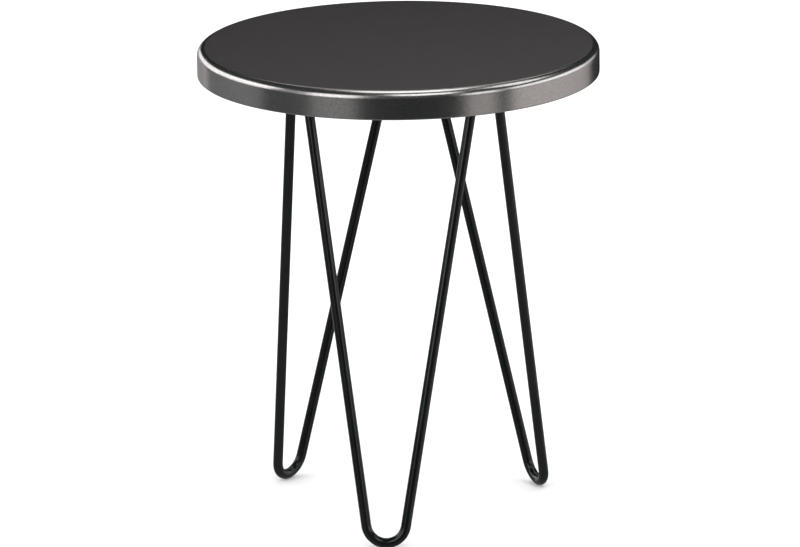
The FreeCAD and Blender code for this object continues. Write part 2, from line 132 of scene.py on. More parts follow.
@dataclass(frozen=True)
class TableSizes:
    """Places that several pieces share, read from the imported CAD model.

    The bar's radius, bend and spread are the part's own sizes, which no box gives.
    """

    face_level: float
    band_bottom: float
    top_radius: float
    plate_seat: float
    plate_bottom: float
    plate_out: float
    plate_half_length: float
    plate_half_width: float
    head_seat: float
    outer_screw: float
    bar_radius: float = 0.005
    bend_radius: float = 0.020
    bar_half_spread: float = 0.085
    foot_out: float = 0.149
    screws: int = 4

    @classmethod
    def from_frame(cls) -> "TableSizes":
        """Read the shared places off the boxes of the CAD nodes.

        Returns:
            The places.
        """
        pan_low, pan_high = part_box("top_pan")
        plate_low, plate_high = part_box("front_leg_plate")
        washer_low, washer_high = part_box("front_leg_washers")
        washer_radius = (washer_high.y - washer_low.y) / 2
        return cls(
            face_level=pan_high.z,
            band_bottom=pan_low.z,
            top_radius=pan_high.x,
            plate_seat=plate_high.z,
            plate_bottom=plate_low.z,
            plate_out=-(plate_low.y + plate_high.y) / 2,
            plate_half_length=plate_high.x,
            plate_half_width=(plate_high.y - plate_low.y) / 2,
            head_seat=washer_low.z,
            outer_screw=washer_high.x - washer_radius,
        )

    @property
    def screw_pitch(self) -> float:
        """Distance from one screw of a leg to the next."""
        return self.outer_screw * 2 / (self.screws - 1)

    def first_screw(self, level: float) -> Vector:
        """The place on the axis of the front leg's first screw at a level."""
        return Vector((-self.outer_screw, -self.plate_out, level))

    @property
    def leg_rise(self) -> float:
        """Height from the lowest point of a bar's centre line to the seat of its plate."""
        return self.plate_seat - self.bar_radius

    @property
    def leg_lean(self) -> float:
        """How much further out a leg's foot stands than its plate."""
        return self.foot_out - self.plate_out

    @property
    def leg_slant(self) -> Vector:
        """The unit direction from a front foot up to its plate, in the leg's leaning plane."""
        return Vector((0.0, self.leg_lean, self.leg_rise)).normalized()

    @property
    def leg_length(self) -> float:
        """Length of a leg measured up its leaning plane."""
        return math.hypot(self.leg_lean, self.leg_rise)


def start_clean() -> None:
    """Leave nothing selected and nothing active, in object mode."""
    if bpy.context.mode != "OBJECT":
        bpy.ops.object.mode_set(mode="OBJECT")
    bpy.ops.object.select_all(action="DESELECT")
    bpy.context.view_layer.objects.active = None


def off_axis(place: Vector, axis: Vector = ORIGIN) -> float:
    """Level distance of a place from an upright axis, the table's own unless given."""
    return math.hypot(place.x - axis.x, place.y - axis.y)


def at_level(level: float) -> EdgeTest:
    """A test that passes edges whose two ends both lie at a level."""
    return lambda start, end: abs(start.z - level) < NEAR and abs(end.z - level) < NEAR


def on_ring(radius: float, level: float, axis: Vector = ORIGIN, slack: float = NEAR) -> EdgeTest:
    """A test that passes edges at a level whose ends lie at a radius from an upright axis."""
    return lambda *ends: at_level(level)(*ends) and all(
        abs(off_axis(end, axis) - radius) < slack for end in ends
    )


def cut_level(level: float, **ending: bool) -> None:
    """Cut all of the piece in edit mode with a level plane, and keep both sides unless told."""
    bpy.ops.mesh.select_all(action="SELECT")
    bpy.ops.mesh.bisect(plane_co=(0.0, 0.0, level), plane_no=(0.0, 0.0, 1.0), **ending)


def lift(rise: float) -> None:
    """Extrude what is selected in edit mode straight up."""
    bpy.ops.mesh.extrude_region_move(TRANSFORM_OT_translate={"value": (0.0, 0.0, rise)})


def bridge_circle(steps: int, radius: float, middle: Vector) -> None:
    """Add a circle in edit mode and bridge it to the ring already there.

    Args:
        steps: How many points the circle has.
        radius: Its radius.
        middle: Its middle.
    """
    bpy.ops.mesh.primitive_circle_add(vertices=steps, radius=radius, location=middle)
    bpy.ops.mesh.select_all(action="SELECT")
    bpy.ops.mesh.bridge_edge_loops()


def face_outwards() -> None:
    """Merge the doubles of the piece in edit mode and turn its faces outwards."""
    bpy.ops.mesh.select_all(action="SELECT")
    bpy.ops.mesh.remove_doubles(threshold=MERGE_DISTANCE)
    bpy.ops.mesh.normals_make_consistent(inside=False)


@dataclass
class PieceMaker:
    """Hand work on one new piece of the table, which the maker of each piece takes up."""

    sizes: TableSizes
    crease: float = 40.0
    piece: Piece = field(init=False)

    def build(self) -> Piece:
        """Shape the piece, and shade it smooth where faces meet flatter than its crease.

        Returns:
            The finished piece.
        """
        self.shape()
        self.activate()
        bpy.ops.object.shade_smooth_by_angle(angle=math.radians(self.crease))
        return self.piece

    def shape(self) -> None:
        """Shape the piece from a primitive."""
        raise NotImplementedError

    def start(self, name: str, add: Callable[..., object], **values: object) -> None:
        """Add a primitive, name it and move its place into its mesh.

        Args:
            name: The piece's name.
            add: The operator that adds the primitive.
            **values: The operator's values.
        """
        start_clean()
        add(**values)
        self.piece = bpy.context.active_object
        self.piece.name = self.piece.data.name = name
        bpy.ops.object.transform_apply(location=True, rotation=True, scale=True)

    def activate(self) -> None:
        """Select the piece alone and make it the active one."""
        start_clean()
        self.piece.select_set(True)
        bpy.context.view_layer.objects.active = self.piece

    @contextmanager
    def shaping(self) -> Iterator[None]:
        """Hold the piece in edit mode, with nothing selected at the start."""
        self.activate()
        bpy.ops.object.mode_set(mode="EDIT")
        bpy.ops.mesh.select_all(action="DESELECT")
        yield
        bpy.ops.object.mode_set(mode="OBJECT")

    def pick(self, kind: Pick, test: Callable[..., bool]) -> None:
        """Select only the parts of the piece in edit mode that pass a test.

        Args:
            kind: Whether points, edges or faces are selected.
            test: Takes a point's place, an edge's two ends, or a face's middle and normal.
        """
        bpy.ops.mesh.select_mode(type=kind.value)
        bpy.ops.mesh.select_all(action="DESELECT")
        mesh = bmesh.from_edit_mesh(self.piece.data)
        if kind is Pick.POINTS:
            chosen = [point for point in mesh.verts if test(point.co)]
        elif kind is Pick.EDGES:
            chosen = [edge for edge in mesh.edges if test(*(end.co for end in edge.verts))]
        else:
            mesh.normal_update()
            chosen = [face for face in mesh.faces if test(face.calc_center_median(), face.normal)]
        for part in chosen:
            part.select_set(True)
        if kind is Pick.POINTS:
            mesh.select_flush(True)
        bmesh.update_edit_mesh(self.piece.data)

    def round_edges(self, test: EdgeTest, reach: float, steps: int) -> None:
        """Round the edges that pass a test, so far along their faces, in so many steps."""
        self.pick(Pick.EDGES, test)
        bpy.ops.mesh.bevel(
            offset_type="OFFSET",
            offset=reach,
            segments=steps,
            profile=0.5,
            affect="EDGES",
            clamp_overlap=False,
        )

    def modify(self, kind: str, **settings: object) -> None:
        """Add one modifier with its settings and apply it.

        Args:
            kind: Blender's type name of the modifier.
            **settings: Values for the modifier's properties.
        """
        self.activate()
        modifier = self.piece.modifiers.new(kind.lower(), kind)
        for key, value in settings.items():
            setattr(modifier, key, value)
        bpy.ops.object.modifier_apply(modifier=modifier.name)

    def mirror(self, merge: bool) -> None:
        """Mirror the piece across the leg's middle plane and turn its faces outwards.

        Args:
            merge: Whether the two halves join where they meet.
        """
        self.modify("MIRROR", use_mirror_merge=merge, merge_threshold=NEAR)
        with self.shaping():
            face_outwards()

    def repeat_in_row(self) -> None:
        """Repeat a piece made at a leg's first screw along the row of screws."""
        self.modify(
            "ARRAY",
            count=self.sizes.screws,
            use_relative_offset=False,
            use_constant_offset=True,
            constant_offset_displace=(self.sizes.screw_pitch, 0.0, 0.0),
        )


@dataclass
class TopPan(PieceMaker):
    """The pressed steel cap: flat face, round shoulder, upright band and rolled hem."""

    shoulder: float = 0.008
    gauge: float = 0.0012
    hem_thickness: float = 0.0026
    hem_height: float = 0.006
    hem_run_out: float = 0.002
    hem_roundness: float = 0.49
    support: float = 0.0006
    face_rings: tuple[float, ...] = (0.012, 0.030, 0.045, 0.055)
    round_steps: int = 256
    shoulder_steps: int = 18
    hem_steps: int = 6

    def shape(self) -> None:
        """Shape the cap from one cylinder, with a ring inside each end of the band.

        Those rings and the first one in the face keep the shading of the flat parts flat.
        """
        sizes = self.sizes
        depth = sizes.face_level - sizes.band_bottom
        self.start(
            "top_steel_cap",
            bpy.ops.mesh.primitive_cylinder_add,
            vertices=self.round_steps,
            radius=sizes.top_radius,
            depth=depth,
            location=(0.0, 0.0, sizes.band_bottom + depth / 2),
        )
        with self.shaping():
            self.shape_face()
            face_outwards()
        self.modify("SOLIDIFY", thickness=self.gauge, offset=-1.0, use_even_offset=True)
        with self.shaping():
            self.fold_hem()
            self.round_hem()
            cut_level(sizes.face_level - self.shoulder - self.support)
            cut_level(sizes.band_bottom + self.hem_thickness / 2 + self.support)
            face_outwards()

    def shape_face(self) -> None:
        """Open the underside, round the shoulder, and lay rings into the flat face."""
        self.pick(Pick.FACES, lambda middle, normal: normal.z < -FLAT)
        bpy.ops.mesh.delete(type="ONLY_FACE")
        self.round_edges(at_level(self.sizes.face_level), self.shoulder, self.shoulder_steps)
        self.pick(Pick.FACES, lambda middle, normal: normal.z > FLAT)
        for width in (self.support, *self.face_rings):
            bpy.ops.mesh.inset(thickness=width, depth=0.0)

    def fold_hem(self) -> None:
        """Thicken the foot of the band inwards, with a slope where the fold runs out."""
        inner = self.sizes.top_radius - self.gauge
        hem_top = self.sizes.band_bottom + self.hem_height
        cut_level(hem_top)
        self.pick(
            Pick.FACES,
            lambda middle, normal: normal.x * middle.x + normal.y * middle.y < 0.0
            and middle.z < hem_top
            and off_axis(middle) < inner + NEAR,
        )
        bpy.ops.mesh.extrude_region_shrink_fatten(
            TRANSFORM_OT_shrink_fatten={"value": self.hem_thickness - self.gauge}
        )
        self.pick(
            Pick.POINTS,
            lambda place: abs(place.z - hem_top) < NEAR and abs(off_axis(place) - inner) < CLOSE,
        )
        bpy.ops.transform.translate(value=(0.0, 0.0, self.hem_run_out))

    def round_hem(self) -> None:
        """Make the lower edge of the hem one round roll."""
        outer = self.sizes.top_radius
        seam, outside, inside = (
            on_ring(radius, self.sizes.band_bottom, slack=CLOSE)
            for radius in (outer - self.gauge, outer, outer - self.hem_thickness)
        )
        self.pick(Pick.EDGES, seam)
        bpy.ops.mesh.dissolve_edges()
        roll = self.hem_thickness * self.hem_roundness
        self.round_edges(lambda *ends: outside(*ends) or inside(*ends), roll, self.hem_steps)


@dataclass
class HairpinBar(PieceMaker):
    """One leg's bar: a round section spun through the bend and drawn up to the plate."""

    section_steps: int = 40
    bend_steps: int = 30
    overrun: float = 0.012

    def shape(self) -> None:
        """Shape the front leg's bar, one half first: its bend and one straight run."""
        sizes = self.sizes
        slant = sizes.leg_slant
        foot = Vector((0.0, -sizes.foot_out, sizes.bar_radius))
        across = Vector((1.0, 0.0, 0.0))
        above_bend = sizes.leg_length - sizes.bend_radius
        reach = math.hypot(sizes.bar_half_spread, above_bend)
        lean = math.atan2(sizes.bar_half_spread, above_bend) - math.asin(sizes.bend_radius / reach)
        run = slant * math.cos(lean) + across * math.sin(lean)
        self.start(
            "front_leg_bar",
            bpy.ops.mesh.primitive_circle_add,
            vertices=self.section_steps,
            radius=sizes.bar_radius,
            fill_type="NOTHING",
            location=foot,
            rotation=(0.0, math.pi / 2, 0.0),
        )
        with self.shaping():
            bpy.ops.mesh.select_all(action="SELECT")
            bpy.ops.mesh.spin(
                steps=self.bend_steps,
                dupli=False,
                angle=-(math.pi / 2 - lean),
                center=foot + slant * sizes.bend_radius,
                axis=across.cross(slant),
            )
            length = sizes.leg_length + self.overrun
            bpy.ops.mesh.extrude_region_move(TRANSFORM_OT_translate={"value": run * length})
            cut_level(sizes.plate_bottom, use_fill=True, clear_outer=True)
        self.mirror(merge=True)


@dataclass
class StripPlate(PieceMaker):
    """The strip plate that holds one leg's two bar ends, with eased lower edges."""

    crease: float = 30.0
    end_steps: int = 16
    edge_ease: float = 0.0005
    ease_steps: int = 3
    hole_radius: float = 0.0033
    hole_steps: int = 32
    drill_reach: float = 3.0

    def shape(self) -> None:
        """Shape the front leg's plate, round at both ends and drilled for its screws."""
        sizes = self.sizes
        thickness = sizes.plate_seat - sizes.plate_bottom
        half_way = sizes.plate_bottom + thickness / 2
        self.start(
            "front_leg_strip",
            bpy.ops.mesh.primitive_cube_add,
            size=1.0,
            location=(0.0, -sizes.plate_out, half_way),
            scale=(sizes.plate_half_length * 2, sizes.plate_half_width * 2, thickness),
        )
        with self.shaping():
            self.round_edges(
                lambda start, end: abs(start.z - end.z) > thickness / 2,
                sizes.plate_half_width,
                self.end_steps,
            )
            face_outwards()
            self.round_edges(at_level(sizes.plate_bottom), self.edge_ease, self.ease_steps)
        drills = PieceMaker(sizes)
        drills.start(
            "drills",
            bpy.ops.mesh.primitive_cylinder_add,
            vertices=self.hole_steps,
            radius=self.hole_radius,
            depth=thickness * self.drill_reach,
            location=sizes.first_screw(half_way),
        )
        drills.repeat_in_row()
        self.modify("BOOLEAN", object=drills.piece, operation="DIFFERENCE", solver="EXACT")
        bpy.data.objects.remove(drills.piece)


@dataclass
class WeldBeads(PieceMaker):
    """The two rippled fillet welds round one leg's bar ends."""

    crease: float = 80.0
    ring_steps: int = 84
    bead_steps: int = 12
    steps_per_ripple: int = 3
    bead_radius: float = 0.00205
    ring_radius: float = 0.0063
    drop: float = 0.00125
    ripple: float = 0.00028
    unevenness: float = 0.00012
    seed: int = 7

    def shape(self) -> None:
        """Shape the bead round one bar end, swollen every few rings, and mirror it."""
        sizes = self.sizes
        share = (sizes.plate_seat - sizes.plate_bottom + self.drop) / sizes.leg_rise
        across = sizes.bar_half_spread - (sizes.bar_half_spread - sizes.bend_radius) * share
        out = sizes.plate_out + sizes.leg_lean * share
        middle = Vector((across, -out, sizes.plate_bottom - self.drop))

        def on_crest(place: Vector) -> bool:
            """Whether a point lies on the crest of a ripple, as the weld pool leaves them."""
            angle = math.atan2(place.y - middle.y, place.x - middle.x) % math.tau
            return round(angle / math.tau * self.ring_steps) % self.steps_per_ripple == 0

        self.start(
            "front_leg_beads",
            bpy.ops.mesh.primitive_torus_add,
            major_segments=self.ring_steps,
            minor_segments=self.bead_steps,
            major_radius=self.ring_radius,
            minor_radius=self.bead_radius,
            location=middle,
        )
        with self.shaping():
            self.pick(Pick.POINTS, on_crest)
            bpy.ops.transform.shrink_fatten(value=self.ripple)
            bpy.ops.mesh.select_all(action="SELECT")
            bpy.ops.transform.vertex_random(
                offset=self.unevenness, uniform=0.0, normal=1.0, seed=self.seed
            )
        self.modify("SUBSURF", levels=1, render_levels=1)
        self.mirror(merge=False)


@dataclass
class SocketScrews(PieceMaker):
    """One leg's button-head screws, each socket turned as the key happened to leave it."""

    crease: float = 35.0
    round_steps: int = 48
    head_radius: float = 0.0057
    head_height: float = 0.0034
    crown: float = 0.0014
    crown_steps: int = 6
    shank_radius: float = 0.003
    shank_length: float = 0.014
    tip_chamfer: float = 0.0008
    socket_sides: int = 6
    socket_corner: float = 0.0023094
    socket_depth: float = 0.002
    drill_cone: float = 0.0006
    turns: tuple[float, ...] = (8.0, 37.0, 21.0, 52.0)

    @property
    def middle(self) -> Vector:
        """The middle of the first head's crown."""
        return self.sizes.first_screw(self.sizes.head_seat - self.head_height)

    def shape(self) -> None:
        """Shape the first screw from its socket outwards, and repeat it along the plate."""
        self.start(
            "front_leg_screws_black",
            bpy.ops.mesh.primitive_circle_add,
            vertices=self.socket_sides,
            radius=self.socket_corner,
            location=self.middle,
        )
        with self.shaping():
            bpy.ops.mesh.select_all(action="SELECT")
            bpy.ops.mesh.subdivide(number_cuts=self.round_steps // self.socket_sides - 1)
            bridge_circle(self.round_steps, self.head_radius, self.middle)
            self.sink_socket()
            self.raise_head()
            face_outwards()
        self.repeat_in_row()
        self.turn_sockets()

    def sink_socket(self) -> None:
        """Sink the six-sided socket into the head, with a drilled cone at its floor."""
        middle, limit = self.middle, self.socket_corner + NEAR
        self.pick(Pick.EDGES, lambda *ends: all(off_axis(end, middle) < limit for end in ends))
        lift(self.socket_depth)
        lift(self.drill_cone)
        bpy.ops.mesh.merge(type="CENTER")

    def raise_head(self) -> None:
        """Draw the head's side, shank and tip up from its rim, and crown the rim."""
        middle = self.middle
        rim = on_ring(self.head_radius, middle.z, middle)
        axis = Vector((middle.x, middle.y, self.sizes.head_seat))
        self.pick(Pick.EDGES, rim)
        for rise, share in (
            (self.head_height, 1.0),
            (0.0, self.shank_radius / self.head_radius),
            (self.shank_length - self.tip_chamfer, 1.0),
            (self.tip_chamfer, 1.0 - self.tip_chamfer / self.shank_radius),
        ):
            lift(rise)
            bpy.ops.transform.resize(value=(share, share, 1.0), center_override=axis)
        bpy.ops.mesh.edge_face_add()
        self.round_edges(rim, self.crown, self.crown_steps)

    def turn_sockets(self) -> None:
        """Turn each screw of the row about its own axis by a different angle."""
        pitch = self.sizes.screw_pitch
        for number, turn in enumerate(self.turns):
            axis = self.middle + Vector((pitch * number, 0.0, 0.0))
            with self.shaping():
                self.pick(Pick.POINTS, lambda place: abs(place.x - axis.x) < pitch / 2)
                bpy.ops.transform.rotate(
                    value=math.radians(turn), orient_axis="Z", center_override=axis
                )


@dataclass
class FlatWashers(PieceMaker):
    """The flat washers under one leg's screw heads, with faintly rounded rims."""

    crease: float = 35.0
    round_steps: int = 48
    outer: float = 0.0065
    inner: float = 0.0032
    rim_ease: float = 0.00018
    ease_steps: int = 2

    def shape(self) -> None:
        """Shape the first washer and repeat it along the front leg's plate."""
        middle = self.sizes.first_screw(self.sizes.head_seat)
        self.start(
            "front_leg_washers_black",
            bpy.ops.mesh.primitive_circle_add,
            vertices=self.round_steps,
            radius=self.outer,
            location=middle,
        )
        with self.shaping():
            bridge_circle(self.round_steps, self.inner, middle)
            bpy.ops.mesh.select_all(action="SELECT")
            lift(self.sizes.plate_bottom - self.sizes.head_seat)
            face_outwards()
            self.round_edges(
                lambda start, end: abs(start.z - end.z) < NEAR
                and min(off_axis(start, middle), off_axis(end, middle)) > self.outer - NEAR,
                self.rim_ease,
                self.ease_steps,
            )
        self.repeat_in_row()


class NodeBench:
    """Short calls for laying out one node tree."""

    def __init__(self, tree: Tree) -> None:
        """Take the tree to work on."""
        self.tree = tree

    def join(self, start: Wire, end: Wire) -> None:
        """Join an output socket to an input socket."""
        self.tree.links.new(start, end)

    def add(self, kind: str, inputs: Inputs | None = None, **settings: object) -> Node:
        """Add one node.

        Args:
            kind: Blender's type name of the node.
            inputs: Sockets to join or plain values, by the name or number of the input.
            **settings: Values for the node's own properties.

        Returns:
            The new node.
        """
        node = self.tree.nodes.new(kind)
        for key, value in settings.items():
            setattr(node, key, value)
        for key, value in (inputs or {}).items():
            if isinstance(value, Wire):
                self.join(value, node.inputs[key])
            else:
                node.inputs[key].default_value = value
        return node

    def maths(self, operation: str, *terms: Wire | float) -> Wire:
        """Work out a sum of sockets and plain numbers by Blender's name of the operation."""
        return self.add("ShaderNodeMath", dict(enumerate(terms)), operation=operation).outputs[0]

    def spread(self, value: Wire, target: Span, source: Span = (0.0, 1.0)) -> Wire:
        """Map a value to a target range from a source range, held at both ends."""
        ends = dict(zip(("From Min", "From Max", "To Min", "To Max"), source + target))
        return self.add("ShaderNodeMapRange", {"Value": value, **ends}).outputs["Result"]

    def mix(self, share: Wire, first: Wire, second: Wire) -> Wire:
        """Mix two colours, with so much of the second."""
        ends = {0: share, 6: first, 7: second}
        return self.add("ShaderNodeMix", ends, data_type="RGBA").outputs[2]

    def mix_shaders(self, share: Wire, first: Wire, second: Wire) -> Wire:
        """Mix two shaders, with so much of the second."""
        return self.add("ShaderNodeMixShader", {0: share, 1: first, 2: second}).outputs[0]


class GroupBench(NodeBench):
    """A shader node group under work, with its named sockets at hand."""

    def __init__(self, name: str, inputs: dict[str, Socket], outputs: dict[str, Socket]) -> None:
        """Start a group that reads a place.

        Args:
            name: The group's name.
            inputs: Kind of socket by name, for the inputs after the place.
            outputs: Kind of socket by name.
        """
        super().__init__(bpy.data.node_groups.new(name, "ShaderNodeTree"))
        for way, sockets in (("INPUT", {"Place": Socket.PLACE, **inputs}), ("OUTPUT", outputs)):
            for label, kind in sockets.items():
                self.tree.interface.new_socket(label, in_out=way, socket_type=kind.value)
        self.start = self.add("NodeGroupInput").outputs
        self.end = self.add("NodeGroupOutput").inputs

    def pattern(self, kind: str, size: str, place: Wire | None = None, **values: float) -> Node:
        """Add a texture at a place, with features as large as one of the group's inputs says."""
        scale = self.maths("DIVIDE", 1.0, self.start[size])
        return self.add(kind, {"Vector": place or self.start["Place"], "Scale": scale, **values})


@dataclass(frozen=True)
class SharedEffects:
    """The node groups that more than one finish uses."""

    grain: Tree
    clouds: Tree
    wiping: Tree

    @classmethod
    def make(cls) -> "SharedEffects":
        """Build each group once."""
        return cls(grain=cls.make_grain(), clouds=cls.make_clouds(), wiping=cls.make_wiping())

    @staticmethod
    def make_grain() -> Tree:
        """Make fine specks of one size, as a value about one half and a height.

        Returns:
            The group.
        """
        bench = GroupBench(
            "fine_grain",
            {"Speck Size": Socket.NUMBER},
            {"Value": Socket.NUMBER, "Height": Socket.NUMBER},
        )
        coarse = bench.pattern("ShaderNodeTexNoise", "Speck Size", Detail=1.0, Roughness=0.6)
        cells = bench.pattern("ShaderNodeTexVoronoi", "Speck Size", Randomness=1.0)
        grey = bench.spread(cells.outputs["Distance"], CELL_GREYS, CELL_REACH)
        value = bench.maths("MULTIPLY", bench.maths("ADD", grey, coarse.outputs["Fac"]), 0.5)
        bench.join(value, bench.end["Value"])
        bench.join(coarse.outputs["Fac"], bench.end["Height"])
        return bench.tree

    @staticmethod
    def make_clouds() -> Tree:
        """Make soft patches that drift between two colours, with their mask.

        Returns:
            The group.
        """
        bench = GroupBench(
            "cloudy_tone",
            {"Patch Size": Socket.NUMBER, "Dark": Socket.COLOUR, "Light": Socket.COLOUR},
            {"Colour": Socket.COLOUR, "Mask": Socket.NUMBER},
        )
        noise = bench.pattern("ShaderNodeTexNoise", "Patch Size", Detail=3.0, Roughness=0.55)
        mask = bench.spread(noise.outputs["Fac"], (0.0, 1.0), CLOUD_EDGES)
        mix = bench.mix(mask, bench.start["Dark"], bench.start["Light"])
        bench.join(mix, bench.end["Colour"])
        bench.join(mask, bench.end["Mask"])
        return bench.tree

    @staticmethod
    def make_wiping() -> Tree:
        """Make a mask of faint crossing strokes, as a cloth leaves them.

        Returns:
            The group.
        """
        bench = GroupBench(
            "wiping_strokes", {"Stroke Size": Socket.NUMBER}, {"Mask": Socket.NUMBER}
        )
        strokes = []
        for turn, stretch in STROKE_WAYS:
            way = {"Rotation": (0.0, 0.0, turn), "Scale": (1.0, stretch, 1.0)}
            turned = bench.add("ShaderNodeMapping", {"Vector": bench.start["Place"], **way})
            noise = bench.pattern(
                "ShaderNodeTexNoise", "Stroke Size", turned.outputs[0], Detail=4.0, Roughness=0.6
            )
            strokes.append(bench.spread(noise.outputs["Fac"], (0.0, 1.0), STROKE_EDGES))
        bench.join(bench.maths("MAXIMUM", *strokes), bench.end["Mask"])
        return bench.tree


class Finish(NodeBench):
    """One finish: a material whose shader reads patterns on Object coordinates.

    Each kind says the shader's plain values, the darker and the lighter tone of its soft
    patches and their size, the range of its roughness, the size of any strokes that the
    roughness follows in place of the patches, and the sizes and depths of its raised specks.
    """

    name: str
    values: Inputs = {}
    tones: Tones
    patch: float
    roughness: Span
    stroke: float = 0.0
    relief: Relief = ()

    def __init__(self, effects: SharedEffects) -> None:
        """Start the material and lay it out.

        Args:
            effects: The shared node groups.
        """
        self.material = bpy.data.materials.new(self.name)
        self.material.use_nodes = True
        super().__init__(self.material.node_tree)
        self.effects = effects
        self.shader = self.tree.nodes["Principled BSDF"]
        for key, value in self.values.items():
            self.shader.inputs[key].default_value = value
        self.place = self.add("ShaderNodeTexCoord").outputs["Object"]
        self.lay_out()

    def lay_out(self) -> None:
        """Lay out the colour, the roughness and the relief."""
        self.feed(self.spread(self.paint(), self.roughness), "Roughness")
        for speck, depth in self.relief:
            self.pit(speck, depth)

    def feed(self, wire: Wire, name: str) -> None:
        """Join a socket to one of the shader's inputs."""
        self.join(wire, self.shader.inputs[name])

    def effect(self, group: Tree, **values: object) -> Node:
        """Place a shared group, with plain values by its inputs' names, underscores for spaces."""
        named = {key.replace("_", " "): value for key, value in values.items()}
        return self.add("ShaderNodeGroup", {"Place": self.place, **named}, node_tree=group)

    def clouds(self, tones: Tones) -> Node:
        """Place soft patches that drift from a dark to a light tone."""
        dark, light = (rgba(tone) for tone in tones)
        return self.effect(self.effects.clouds, Patch_Size=self.patch, Dark=dark, Light=light)

    def paint(self) -> Wire:
        """Colour the surface in its soft patches.

        Returns:
            The socket with the mask that the roughness follows.
        """
        clouds = self.clouds(self.tones).outputs
        self.feed(clouds["Colour"], "Base Color")
        return self.wipe() if self.stroke else clouds["Mask"]

    def wipe(self) -> Wire:
        """Place wiping strokes and return their mask."""
        return self.effect(self.effects.wiping, Stroke_Size=self.stroke).outputs["Mask"]

    def speckle(self, speck: float, span: Span) -> Wire:
        """Place specks of one size as a value that stays within a range."""
        grain = self.effect(self.effects.grain, Speck_Size=speck)
        return self.spread(grain.outputs["Value"], span, MOST_GRAIN)

    def tint(self, colour: Wire, factor: Wire) -> Wire:
        """Multiply a colour by a value."""
        ends = {0: colour, "Scale": factor}
        return self.add("ShaderNodeVectorMath", ends, operation="SCALE").outputs["Vector"]

    def bump(self, height: Wire, depth: float) -> None:
        """Raise the surface, on top of any relief that it already has.

        Args:
            height: The socket with the height.
            depth: How far it rises, in metres.
        """
        ends = {"Height": height, "Distance": depth, "Strength": 1.0}
        for earlier in self.shader.inputs["Normal"].links:
            ends["Normal"] = earlier.from_socket
        self.feed(self.add("ShaderNodeBump", ends).outputs["Normal"], "Normal")

    def pit(self, speck: float, depth: float) -> None:
        """Raise the surface by specks of one size over a depth in metres."""
        self.bump(self.effect(self.effects.grain, Speck_Size=speck).outputs["Height"], depth)


def rgba(colour: Colour) -> tuple[float, float, float, float]:
    """A colour with full cover."""
    return (*colour, 1.0)


class GunmetalFinish(Finish):
    """Satin gunmetal: a dark warm face, darkened as painted shade, and a rim painted brighter
    from the shoulder down as a painted highlight.

    The shader's tint holds the mirror back at low angles.
    """

    name: str = "satin_gunmetal"
    values: Inputs = {"Metallic": 1.0, "Specular Tint": (0.55, 0.55, 0.55, 1.0)}
    # The face's tones are darkened as painted shade, so the face reads dark from every side.
    tones: Tones = ((0.084, 0.080, 0.078), (0.091, 0.087, 0.085))
    # Painted highlight: the rim's tones are far brighter than the face's and stand in for its
    # reflections.
    painted_highlight_tones: Tones = ((0.628, 0.604, 0.595), (0.652, 0.626, 0.616))
    # Radii over which the rim's painted highlight takes over from the face's painted shade.
    painted_highlight_radii: Span = (0.1925, 0.1951)
    patch: float = 0.04
    speck: float = 0.0009
    mottle: float = 0.0017
    face_specks: Span = (0.80, 0.09)
    rim_specks: Span = (0.36, 0.09)
    roughness: Span = (0.210, 0.228)
    stroke: float = 0.02
    smear: float = 0.007
    pits: float = 0.016
    wave: float = 0.09
    depth: float = 0.000004

    def lay_out(self) -> None:
        """Lay out the painted-shade face, the painted-highlight rim, and one roughness and relief
        for both.
        """
        face = self.zone(self.tones, self.face_specks)
        rim = self.zone(self.painted_highlight_tones, self.rim_specks)
        # Painted shade on the face and painted highlight on the rim, mixed by the distance from the
        # axis.
        self.feed(self.mix(self.painted_highlight_share(), face, rim), "Base Color")
        patches, waves = (
            self.effect(self.effects.clouds, Patch_Size=size).outputs["Mask"]
            for size in (self.patch, self.wave)
        )
        smears = self.spread(self.wipe(), (0.0, self.smear))
        worn = self.maths("ADD", self.spread(patches, self.roughness), smears)
        pits = self.speckle(self.speck, (-self.pits, self.pits))
        self.feed(self.maths("ADD", worn, pits), "Roughness")
        self.bump(waves, self.depth)
        self.pit(self.speck, self.depth)

    def zone(self, tones: Tones, contrasts: Span) -> Wire:
        """Lay out the colour of the face, in painted shade, or of the rim, in painted highlight.

        Args:
            tones: The darker and the lighter colour of its soft patches.
            contrasts: How far the fine specks and the mottle differ in brightness.

        Returns:
            The socket with the colour.
        """
        colour = self.clouds(tones).outputs["Colour"]
        for size, contrast in zip((self.speck, self.mottle), contrasts):
            span = (1.0 - contrast / 2, 1.0 + contrast / 2)
            colour = self.tint(colour, self.speckle(size, span))
        return colour

    def painted_highlight_share(self) -> Wire:
        """Tell the rim's painted highlight from the face's painted shade by the distance from the
        table's axis.

        Returns:
            The socket with how far a place takes the rim's painted highlight.
        """
        parts = self.add("ShaderNodeSeparateXYZ", {0: self.place}).outputs
        squares = [self.maths("MULTIPLY", axis, axis) for axis in parts[:2]]
        radius = self.maths("SQRT", self.maths("ADD", *squares))
        return self.spread(radius, (0.0, 1.0), self.painted_highlight_radii)


class PowderCoatFinish(Finish):
    """Black satin powder coat with a faint orange-peel skin."""

    name: str = "black_satin_powder_coat"
    values: Inputs = {"Specular IOR Level": 0.64, "Specular Tint": (0.96, 1.0, 1.01, 1.0)}
    tones: Tones = ((0.0023, 0.0030, 0.0033), (0.0038, 0.0048, 0.0053))
    patch: float = 0.018
    roughness: Span = (0.15, 0.20)
    relief: Relief = ((0.0024, 0.000014), (0.0006, 0.000014 / 12))


class BlackZincFinish(Finish):
    """Black zinc plate: dark metal with a drifting brown and blue cast."""

    name: str = "black_zinc_plate"
    values: Inputs = {"Metallic": 0.35}
    tones: Tones = ((0.052, 0.047, 0.043), (0.084, 0.087, 0.095))
    patch: float = 0.0035
    roughness: Span = (0.27, 0.42)
    relief: Relief = ((0.0005, 0.000008),)


